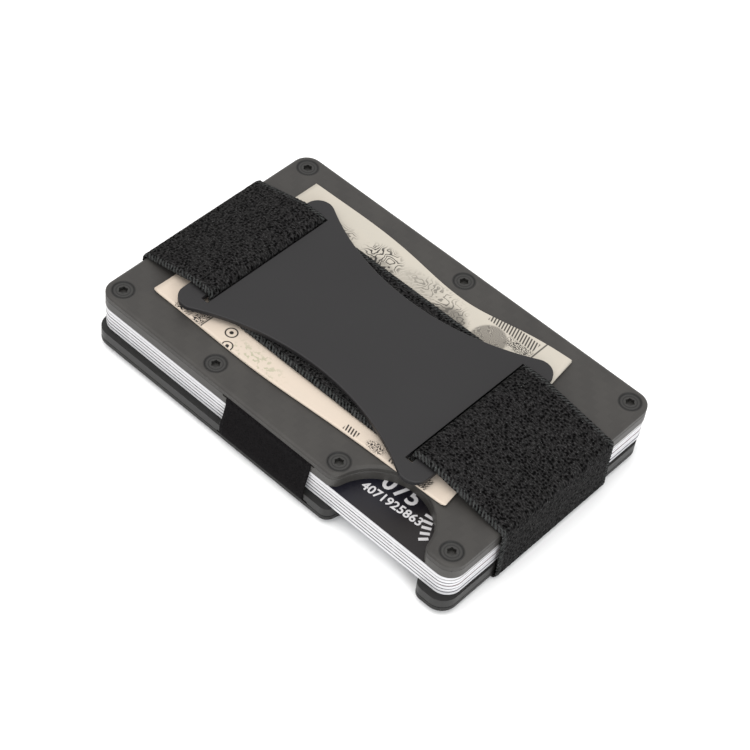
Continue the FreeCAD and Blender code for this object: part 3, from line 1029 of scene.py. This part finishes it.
@dataclass
class NoteRibbon(Ribbon):
    """Folded paper laid to its outline, with margins that stand a little puffy.

    The corners are the packet's front ones and then its back ones, the left one first.
    """

    corners: tuple[Vector, ...] = ()
    floor: float = 0.0
    ceiling: float = 0.0
    pressed: Spot = (0.0, 0.0)
    free_reach: Spot = (0.0045, 0.006)
    puff: float = 0.00017
    puff_scale: Spot = (70.0, 90.0)
    dip: float = 0.003
    dip_at: float = 0.004
    dip_reach: Spot = (0.015, 0.012)
    bulge: float = 0.0009
    bulge_at: float = -0.009
    bulge_reach: float = 0.014
    wave: float = 0.0003
    wave_scale: Spot = (45.0, 1.5)
    leaf_slip: float = 0.0012

    def shape(self, point: StripPoint) -> Vector:
        """Fit a point between the four corners and lift the free margins.

        Args:
            point: a point of the plain strip.

        Returns:
            Where it lies.
        """
        front_left, front_right, back_left, back_right = self.corners
        right = point.across / self.width + 0.5
        back = (point.spot.y - front_left.y) / (back_left.y - front_left.y)
        place = front_left.lerp(front_right, right).lerp(back_left.lerp(back_right, right), back)
        level = (point.spot.z - self.floor) / (self.ceiling - self.floor)
        reach = self.dip_reach[0] if place.x < self.dip_at else self.dip_reach[1]
        dip = self.dip * math.exp(-((place.x - self.dip_at) / reach) ** 2)
        bulge = self.bulge * math.exp(-((place.x - self.bulge_at) / self.bulge_reach) ** 2)
        place.y -= dip * back ** 4 + bulge * (1 - back) ** 4
        free_front = clamp((self.pressed[0] - place.y) / self.free_reach[0])
        free_back = clamp((place.y - self.pressed[1]) / self.free_reach[1])
        patch = place * Vector(self.puff_scale)
        swell = 0.7 + 0.5 * noise.noise(Vector((*patch, 0.3)))
        lift = self.puff * swell * (free_front ** 1.5 + 0.8 * free_back ** 1.5)
        ripple = Vector((place.x * self.wave_scale[0], level * self.wave_scale[1], 1.0))
        wave = self.wave * noise.noise(ripple)
        slip = self.leaf_slip * (level - 0.5) * (1 - back) * (2 * right - 1)
        return Vector((place.x + slip, place.y + wave * (free_front - free_back),
                       point.spot.z + lift * (0.35 + 0.65 * level)))


@dataclass
class Covers:
    """The two rigid covers: outer plates, inner frames and their screws.

    The lower cover lies in shade, so its colours are a share of the upper one's.
    """

    plate_dark: Colour = linear(45, 43, 42)
    plate_light: Colour = linear(64, 62, 59)
    lower_shade_share: float = 0.14
    steel_dark: Colour = linear(36, 35, 34)
    steel_light: Colour = linear(58, 57, 55)
    screw_reach: float = 0.006

    def seats(self, name: str) -> tuple[Spot, ...]:
        """Find the screws' centres from their own points.

        Args:
            name: the node that holds a cover's screws.

        Returns:
            A centre for each screw.
        """
        groups: list[list[Vector]] = []
        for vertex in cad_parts[name].data.vertices:
            spot = vertex.co.xy
            home = next((group for group in groups
                         if (group[0] - spot).length < self.screw_reach), None)
            if home is None:
                groups.append([spot])
            else:
                home.append(spot)
        return tuple(((min(p.x for p in group) + max(p.x for p in group)) / 2,
                      (min(p.y for p in group) + max(p.y for p in group)) / 2)
                     for group in groups)

    def build(self) -> None:
        """Dress the covers' own parts."""
        for side, share in (("lower", self.lower_shade_share), ("upper", 1.0)):
            seats = self.seats(side + "_screws")
            # Painted shade: the lower cover's plate and frame take darkened copies of the upper
            # cover's colours.
            dark, light = (tuple(part * share for part in colour[:3]) + (1.0,)
                           for colour in (self.plate_dark, self.plate_light))
            finishes = {
                "plate": LaminateFinish(side + "_laminate", dark, light, seats),
                "frame": AnodisedFinish(side + "_frame_metal", dark, light, 0.46, 0.00002, 0.4),
                "screws": ScrewFinish(side + "_steel", self.steel_dark, self.steel_light, seats),
            }
            for part, finish in finishes.items():
                dress(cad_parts[f"{side}_{part}"], finish.material())
            log.info("%s cover: %d screws", side, len(seats))


@dataclass(frozen=True)
class CardInk:
    """A card's face colours from left to right, and how dark its edge line is."""

    left: Colour
    right: Colour
    line: float


@dataclass(frozen=True)
class DigitRow:
    """A row of generic digits: their height, where the row starts and their spacing."""

    text: str
    height: float
    start: Spot
    spacing: float


@dataclass
class CardStack:
    """The cards between the covers, with a little print on the top one."""

    core: Colour = linear(207, 206, 208)
    inks: tuple[CardInk, ...] = (
        CardInk(linear(120, 124, 132), linear(150, 150, 155), 0.8),
        CardInk(linear(60, 92, 120), linear(70, 110, 140), 1.0),
        CardInk(linear(110, 44, 40), linear(120, 60, 44), 0.55),
        CardInk(linear(50, 80, 58), linear(64, 96, 64), 1.0),
        CardInk(linear(140, 132, 110), linear(130, 120, 96), 0.4),
        CardInk(linear(10, 11, 25), linear(18, 13, 14), 0.3),
    )
    print_finish: SpeckledFinish = SpeckledFinish("print_white", linear(196, 194, 196),
                                                  linear(170, 168, 170), 3.0, 0.25, 0.45, 0.5)
    print_depth: float = 0.00001
    rows: tuple[DigitRow, ...] = (DigitRow("4071925863", 0.00175, (0.0186, -0.0231), 1.02),
                                  DigitRow("075", 0.0034, (0.0205, -0.0203), 1.05))
    row_turn: float = math.radians(5.0)
    figure_share: float = 0.7
    figure_bold: float = 0.022
    bars: int = 5
    bar_size: Spot = (0.0017, 0.00058)
    bar_start: Spot = (0.0311, -0.0192)
    bar_step: Spot = (0.0006, -0.00105)
    bar_turn: Spot = (8.0, 10.0)

    def build(self) -> None:
        """Dress the cards and lay the print on the top one."""
        for number, ink in enumerate(self.inks, start=1):
            name = f"card_{number}"
            finish = CardFinish(f"card_plastic_{number}", ink.left, ink.right, self.core,
                                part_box(name)[1].z, ink.line)
            dress(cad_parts[name], finish.material())
        self.lay_print(f"card_{len(self.inks)}")
        log.info("%d cards dressed", len(self.inks))

    def add_digits(self, whole: bmesh.types.BMesh, row: DigitRow) -> None:
        """Add a row of digits to the print as a thin solid.

        Args:
            whole: the print so far.
            row: the row to add.
        """
        curve = bpy.data.curves.new("row", "FONT")
        curve.body, curve.size, curve.extrude = row.text, 1.0, 0.02
        curve.space_character, curve.resolution_u = row.spacing, 3
        curve.offset = self.figure_bold
        holder = bpy.data.objects.new("row", curve)
        mesh = bpy.data.meshes.new_from_object(holder)
        digits = bmesh.new()
        digits.from_mesh(mesh)
        bmesh.ops.remove_doubles(digits, verts=digits.verts, dist=1e-5)
        size = row.height / self.figure_share
        place = (Matrix.Translation((*row.start, 0)) @ Matrix.Rotation(self.row_turn, 4, "Z")
                 @ Matrix.Diagonal((size, size, self.print_depth / (2 * curve.extrude), 1)))
        bmesh.ops.transform(digits, matrix=place, verts=digits.verts)
        digits.to_mesh(mesh)
        digits.free()
        whole.from_mesh(mesh)
        bpy.data.objects.remove(holder)
        bpy.data.curves.remove(curve)
        bpy.data.meshes.remove(mesh)

    def lay_print(self, card: str) -> None:
        """Join the rows of digits and a fan of bars into one thin piece.

        Args:
            card: the card that it lies on.
        """
        whole = bmesh.new()
        for row in self.rows:
            self.add_digits(whole, row)
        first, each = self.bar_turn
        for index in range(self.bars):
            centre = Vector(self.bar_start) + Vector(self.bar_step) * index
            place = (Matrix.Translation((*centre, 0))
                     @ Matrix.Rotation(math.radians(first + each * index), 4, "Z")
                     @ Matrix.Diagonal((*self.bar_size, self.print_depth, 1)))
            bmesh.ops.create_cube(whole, size=1.0, matrix=place)
        lift = Matrix.Translation((0, 0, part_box(card)[1].z + self.print_depth * 0.3))
        bmesh.ops.transform(whole, matrix=lift, verts=whole.verts)
        bmesh.ops.recalc_face_normals(whole, faces=whole.faces)
        piece = add_piece("card_print", whole)
        dress(piece, self.print_finish.material())
        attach(piece, card)


@dataclass
class CashStrap:
    """The wide knitted strap, in lengths that each cross one joint, and its bow plate.

    The levels are heights of its middle line. The seams are the left and right ends of its
    base, of its crests and of the bars that it is threaded on.
    """

    bow: AnodisedFinish = AnodisedFinish("bow_graphite", linear(31, 30, 31),
                                         linear(37, 36, 37), 0.42, 0.00001, 0.28)
    # Knit colours: black painted shade for the pits, the loops' own colour, and a light colour for
    # painted glints and stitching.
    painted_pit_shade: Colour = linear(0, 0, 0)
    loop: Colour = linear(52, 51, 51)
    fuzz_and_glint: Colour = linear(160, 166, 164)
    hug: float = 0.0005
    left_hug: float = 1.25
    foot_hug: float = 0.6
    bar_inset: float = 0.0002
    slot_inset: float = 0.005
    fine_step: float = 0.00024
    base_step: float = 0.0006
    inner_bend: float = 0.001
    foot_bend: float = 0.0013
    slot_bend: float = 0.00055
    shallow_bend: float = 0.0025
    foot_clear: float = 0.0015
    crest_clear: float = 0.0008
    thick: float = field(init=False)
    levels: dict[str, float] = field(init=False)
    seams: dict[str, Spot] = field(init=False)

    def __post_init__(self) -> None:
        """Read the thickness, the levels and the seams from the parts' own boxes."""
        base_low, base_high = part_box("strap_base")
        bridge_low, bridge_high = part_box("strap_bridge")
        self.thick = base_high.z - base_low.z
        half = self.thick / 2
        self.levels = {"low": half, "crest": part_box("strap_end_right")[1].z - half,
                       "mid": bridge_low.z + half, "over": bridge_high.z - half}
        self.seams = {"base": (base_low.x, base_high.x),
                      "crest": (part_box("strap_ramp_left")[0].x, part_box("strap_ramp_right")[1].x),
                      "bars": (bridge_low.x, bridge_high.x)}

    def route(self) -> Route:
        """Draw the middle line of the whole loop, from the base's left end round.

        Returns:
            The loop.
        """
        half = self.thick / 2
        low, crest, mid, over = (self.levels[name] for name in ("low", "crest", "mid", "over"))
        base, crests, bars = (self.seams[name] for name in ("base", "crest", "bars"))
        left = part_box("strap_end_left")[0].x + half + self.hug * self.left_hug
        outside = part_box("strap_end_right")[1].x - half
        right, foot = outside - self.hug, outside - self.hug * self.foot_hug
        plate_low, plate_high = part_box("bow_plate")
        slots = plate_low.x + self.slot_inset, plate_high.x - self.slot_inset
        return Route([
            (base[0], low, 0),
            (base[1], low, 0),
            (foot, low, self.foot_bend),
            (right, crest, self.inner_bend),
            (crests[1], crest, self.shallow_bend),
            (bars[1] - self.bar_inset, over, self.shallow_bend),
            (slots[1], over, self.slot_bend),
            (slots[1], mid, self.slot_bend),
            (slots[0], mid, self.slot_bend),
            (slots[0], over, self.slot_bend),
            (bars[0] + self.bar_inset, over, self.shallow_bend),
            (crests[0], crest, self.shallow_bend),
            (left, crest, self.inner_bend),
            (left, low, self.foot_bend),
            (base[0], low, 0),
        ])

    def build(self) -> None:
        """Lay the strap's lengths and dress the plate."""
        route = self.route()
        low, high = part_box("strap_base")
        width, centre = high.y - low.y, (high.y + low.y) / 2
        knit = KnitFinish("strap_knit", Weave.COARSE, width, self.painted_pit_shade, self.loop,
                          self.fuzz_and_glint).material()
        joins = (("base", 1, "low"), ("crest", 1, "crest"), ("bars", 1, "over"),
                 ("bars", 0, "over"), ("crest", 0, "crest"))
        marks = [0.0, *(route.nearest(self.seams[seam][side], self.levels[level])
                        for seam, side, level in joins), route.length]
        names = ("strap_base", "strap_end_right", "strap_ramp_right", "strap_bridge",
                 "strap_ramp_left", "strap_end_left")
        for name, start, end in zip(names, marks, marks[1:]):
            step, under = self.fine_step, "upper_plate"
            if name == "strap_base":
                step, under = self.base_step, "lower_plate"
            piece = StrapRibbon(name + "_knit", route, Plane.ALONG_X, start, end, width, centre,
                                self.thick, step, step, flip=True).build()
            dress(piece, knit)
            self.attach(piece, name)
            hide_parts(name)
        log.info("strap loop of %.1f mm", route.length / MM)
        dress(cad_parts["bow_plate"], self.bow.material())

    def attach(self, piece: bpy.types.Object, name: str) -> None:
        """Fix a length of strap to its body, or leave it free of any body with its place baked into
        its mesh.

        Args:
            piece: the length of strap.
            name: the node that it stands for.
        """
        if name == "strap_base":
            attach(piece, "lower_cover")
        elif name == "strap_bridge":
            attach(piece, "cash_bow")
        elif "end" in name:
            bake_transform(piece)
        else:
            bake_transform(piece)


@dataclass(frozen=True)
class BandCut:
    """How one band is cut, and the side of the wallet that it lies on.

    The head's two ends are measured from the band's centre.
    """

    node: str
    plane: Plane
    sign: int
    width: float
    centre: float
    head: Spot
    head_depth: float


@dataclass
class ElasticBands:
    """The smooth bands that pull the covers together."""

    cuts: tuple[BandCut, ...] = (
        BandCut("front_band", Plane.ALONG_Y, -1, 0.0204, 0.00035, (-0.01935, 0.01525), 0.0043),
        BandCut("left_band", Plane.ALONG_X, -1, 0.018, -0.00065, (-0.0255, 0.0255), 0.0044),
        BandCut("right_band", Plane.ALONG_X, 1, 0.018, -0.00065, (-0.0255, 0.0255), 0.0044),
    )
    # Knit colours: dark painted shade for the pits, the loops' own colour, and a lighter colour for
    # painted glints and stitching.
    painted_pit_shade: Colour = linear(8, 7, 8)
    loop: Colour = linear(25, 23, 24)
    fuzz_and_glint: Colour = linear(44, 44, 46)
    relief: float = 0.00005
    bend: float = 0.0003
    side_bend: float = 0.001
    step: float = 0.00045
    thick: float = 0.0003
    gap: float = 0.00003
    grip: float = 0.0006

    def build(self) -> None:
        """Lay the front band and both end bands."""
        for cut in self.cuts:
            self.lay(cut)

    def reach(self, cut: BandCut, plate: str) -> float:
        """Find how far out a band's middle line runs beside a plate.

        Args:
            cut: the band.
            plate: the plate's node.

        Returns:
            Its distance from the wallet's middle.
        """
        axis = 1 if cut.plane is Plane.ALONG_Y else 0
        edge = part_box(plate)[0 if cut.sign < 0 else 1][axis]
        return abs(edge) + self.gap + self.thick / 2

    def lay(self, cut: BandCut) -> None:
        """Lay one band round the outside of the card stack.

        Args:
            cut: the band.
        """
        low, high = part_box(cut.node)
        front = cut.plane is Plane.ALONG_Y
        axis = 1 if front else 0
        half = self.thick / 2
        outer_up = self.reach(cut, "upper_plate")
        outer_down = outer_up if cut.node == "left_band" else self.reach(cut, "lower_plate")
        inner = min(abs(low[axis]), abs(high[axis]))
        top, bottom = high.z - half, low.z + half
        corners = [
            (inner, top, 0),
            (outer_up, top, self.bend),
            (outer_up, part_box("upper_frame")[0].z, self.side_bend),
            (outer_down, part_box("lower_frame")[1].z, self.side_bend),
            (outer_down, bottom, self.bend),
            (inner + outer_down - outer_up, bottom, 0),
        ]
        route = Route([(u * cut.sign, v, radius) for u, v, radius in corners])
        name = cut.node + "_elastic"
        piece = BandRibbon(name, route, cut.plane, 0.0, route.length, cut.width, cut.centre,
                           self.thick, self.step, self.step, flip=cut.sign > 0, head=cut.head,
                           head_depth=cut.head_depth).build()
        dress(piece, KnitFinish(name, Weave.FINE, cut.width, self.painted_pit_shade, self.loop, self.fuzz_and_glint,
                                self.relief).material())
        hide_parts(cut.node)
        spread = cut.head[1] - cut.head[0]
        area = route.length * cut.width + 2 * cut.head_depth * (spread - cut.width)
        route.length
        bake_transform(piece)


@dataclass
class FoldedNote:
    """A note folded twice, so four leaves lie under the strap.

    The tucks are how far the inner folds and the last edge stay inside the outer leaves.
    """

    leaf: float = 0.0001
    fullness: float = 0.98
    back_tuck: float = 0.0002
    front_tuck: float = 0.0004
    last_tuck: float = 0.0007
    fold_step: float = 0.00003
    step_along: float = 0.0002
    step_across: float = 0.0012
    strap_clear: float = 0.0006
    finish: PaperFinish = PaperFinish("note_paper", linear(199, 184, 169), linear(178, 172, 161),
                                      linear(30, 27, 26), linear(120, 134, 96))

    def outline(self) -> tuple[Vector, ...]:
        """The packet's corners, front and then back, the left one first."""
        spots = [vertex.co.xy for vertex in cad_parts["folded_note"].data.vertices]
        return (min(spots, key=lambda p: p.x + p.y), max(spots, key=lambda p: p.x - p.y),
                min(spots, key=lambda p: p.x - p.y), max(spots, key=lambda p: p.x + p.y))

    def route(self, front: float, back: float, levels: list[float]) -> Route:
        """Fold the sheet's side profile, from the top leaf's back edge in.

        Args:
            front: where the outer leaves fold.
            back: where the top leaf's edge lies.
            levels: the leaves' heights, lowest first.

        Returns:
            The profile.
        """
        under, second, third, top = levels
        outer, turn, inner = (gap / 2 * self.fullness
                              for gap in (top - under, second - under, third - second))
        return Route([
            (back, top, 0),
            (front, top, outer),
            (front, under, outer),
            (back - self.back_tuck, under, turn),
            (back - self.back_tuck, second, turn),
            (front + self.front_tuck, second, inner),
            (front + self.front_tuck, third, inner),
            (back - self.last_tuck, third, 0),
        ], step=self.fold_step)

    def build(self) -> None:
        """Fold the sheet and lay it under the strap."""
        low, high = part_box("folded_note")
        corners = self.outline()
        levels = [low.z + self.leaf / 2 + (high.z - low.z - self.leaf) * share
                  for share in (0.0, 0.333, 0.667, 1.0)]
        route = self.route(corners[0].y, corners[2].y, levels)
        width = (corners[1] - corners[0]).length
        back_width = (corners[3] - corners[2]).length
        strap_low, strap_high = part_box("strap_base")
        pressed = (strap_low.y - self.strap_clear, strap_high.y + self.strap_clear)
        piece = NoteRibbon("note_paper", route, Plane.ALONG_Y, 0.0, route.length, width, 0.0,
                           self.leaf, self.step_along, self.step_across, corners=corners,
                           floor=levels[0], ceiling=levels[-1], pressed=pressed).build()
        dress(piece, self.finish.material())
        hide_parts("folded_note")
        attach(piece, "note")
        route.length
        (width + back_width) / 2 * route.length


@dataclass(frozen=True)
class Lamp:
    """A square soft light that faces the wallet."""

    name: str
    where: Triple
    size: float
    power: float
    colour: Triple

    def hang(self) -> None:
        """Add the light to the scene."""
        light = bpy.data.lights.new(self.name, "AREA")
        light.size, light.energy, light.color = self.size, self.power, self.colour
        holder = bpy.data.objects.new(self.name, light)
        bpy.context.scene.collection.objects.link(holder)
        holder.location = self.where
        holder.rotation_mode = "QUATERNION"
        holder.rotation_quaternion = (-Vector(self.where)).to_track_quat("-Z", "Y")


@dataclass
class Studio:
    """A pale floor, soft lights and the camera."""

    eye: Triple = (0.15703, -0.20525, 0.29891)
    aim: Triple = (0.00485, -0.00506, 0.01221)
    roll: float = math.radians(7.72)
    lens: float = 103.99
    sensor: float = 36.0
    sight: Spot = (0.01, 10.0)
    floor_half: float = 3.0
    floor_clear: float = 0.0001
    floor_finish: SpeckledFinish = SpeckledFinish("floor_white", linear(250, 250, 250),
                                                  linear(253, 253, 253), 0.02, 1.0, 0.9, 0.1)
    sky: float = 1.0
    lamps: tuple[Lamp, ...] = (
        Lamp("key", (-0.1, -0.2, 0.95), 1.0, 6.5, (1.0, 0.985, 0.96)),
        Lamp("side", (0.75, -0.35, 0.3), 0.35, 3.2, (0.93, 0.97, 1.0)),
    )

    def build(self) -> None:
        """Set the floor, the world, the lights and the camera."""
        self.floor()
        self.world()
        for lamp in self.lamps:
            lamp.hang()
        self.camera()

    def floor(self) -> None:
        """Lay a wide pale floor just under the strap."""
        plain = bmesh.new()
        bmesh.ops.create_grid(plain, x_segments=1, y_segments=1, size=self.floor_half)
        bmesh.ops.translate(plain, vec=(0, 0, -self.floor_clear), verts=plain.verts)
        piece = add_piece("floor", plain)
        dress(piece, self.floor_finish.material())

    def world(self) -> None:
        """Light the scene evenly from all round."""
        world = bpy.data.worlds.new("studio")
        world.use_nodes = True
        sky = world.node_tree.nodes["Background"]
        sky.inputs["Color"].default_value = (1.0, 1.0, 1.0, 1.0)
        sky.inputs["Strength"].default_value = self.sky
        bpy.context.scene.world = world
        bpy.context.scene.view_settings.view_transform = "Standard"

    def camera(self) -> None:
        """Stand the camera and make it the scene's."""
        lens = bpy.data.cameras.new("camera")
        lens.lens, lens.sensor_width = self.lens, self.sensor
        lens.clip_start, lens.clip_end = self.sight
        holder = bpy.data.objects.new("camera", lens)
        bpy.context.scene.collection.objects.link(holder)
        way = Vector(self.aim) - Vector(self.eye)
        turn = way.to_track_quat("-Z", "Y") @ Quaternion((0, 0, 1), self.roll)
        holder.rotation_mode = "QUATERNION"
        holder.location, holder.rotation_quaternion = self.eye, turn
        bpy.context.scene.camera = holder


def main() -> None:
    """Build the wallet's looks in order and log each assembly as it starts."""
    logging.basicConfig(level=logging.INFO, format="%(message)s")
    for assembly in (Covers(), CardStack(), CashStrap(), ElasticBands(), FoldedNote(), Studio()):
        log.info("building %s", type(assembly).__name__)
        assembly.build()


if __name__ == "__main__":
    main()
